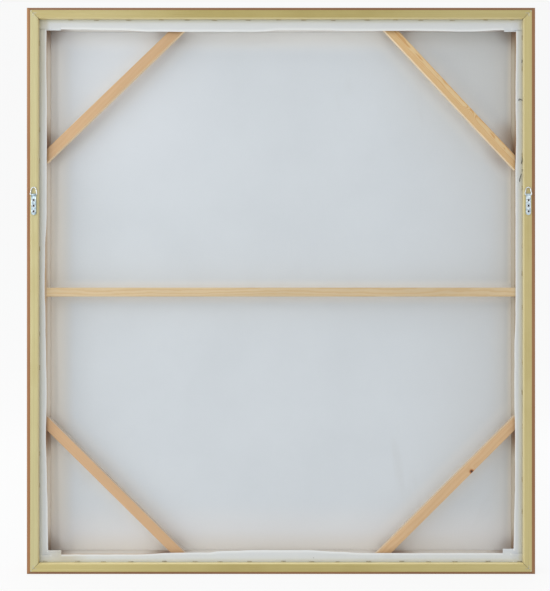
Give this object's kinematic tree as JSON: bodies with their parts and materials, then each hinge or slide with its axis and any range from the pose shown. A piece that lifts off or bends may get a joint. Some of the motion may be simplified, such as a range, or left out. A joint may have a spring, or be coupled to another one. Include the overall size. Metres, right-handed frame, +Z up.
{
  "type": "framed stretched canvas",
  "caption": "Blank primed canvas stretched on a braced pine stretcher, held in a thin mitred float frame with strap hangers on its back.",
  "frame": {"origin": "middle of the frame's underside, which it stands on", "axes": "+Z up along the frame's height; +X to the right as seen from behind; the hanging side faces -Y and the painted side faces +Y"},
  "size_m": [1.018, 0.0598, 1.134],
  "materials": {
    "frame_gold": "satin gold-ochre lacquer on wood",
    "frame_brown": "satin brown stain",
    "pine": "raw planed pine",
    "primed_canvas": "matte primed cotton weave",
    "tape": "matte",
    "zinc_steel": "bright zinc plating",
    "bare_steel": "dull steel"
  },
  "bodies": {
    "frame": {"frame_rail_top": "frame_gold", "frame_rail_bottom": "frame_gold", "frame_rail_left": "frame_gold", "frame_rail_right": "frame_gold", "frame_facing_top": "frame_brown", "frame_facing_bottom": "frame_brown", "frame_facing_left": "frame_brown", "frame_facing_right": "frame_brown", "frame_v_nails": "bare_steel", "stretcher_bar_top": "pine", "stretcher_bar_bottom": "pine", "stretcher_bar_left": "pine", "stretcher_bar_right": "pine", "stretcher_splines": "pine", "crossbar": "pine", "brace_top_left": "pine", "brace_top_right": "pine", "brace_bottom_left": "pine", "brace_bottom_right": "pine", "brace_nails": "bare_steel", "crossbar_nails": "bare_steel", "canvas": "primed_canvas", "canvas_staples": "bare_steel", "mounting_tape": "tape", "hanger_strap_left": "zinc_steel", "hanger_strap_right": "zinc_steel", "hanger_screws_left": "zinc_steel", "hanger_screws_right": "zinc_steel"},
    "left_ring": {"hanger_ring_left": "zinc_steel"},
    "right_ring": {"hanger_ring_right": "zinc_steel"}
  },
  "joints": [
    {"name": "left_ring_hinge", "type": "hinge", "parent": "frame", "child": "left_ring", "pos_m": [-0.4941, -0.0299, 0.759], "axis": [1, 0, 0], "range_deg": [0, 172]},
    {"name": "right_ring_hinge", "type": "hinge", "parent": "frame", "child": "right_ring", "pos_m": [0.4941, -0.0299, 0.759], "axis": [1, 0, 0], "range_deg": [0, 172]}
  ]
}
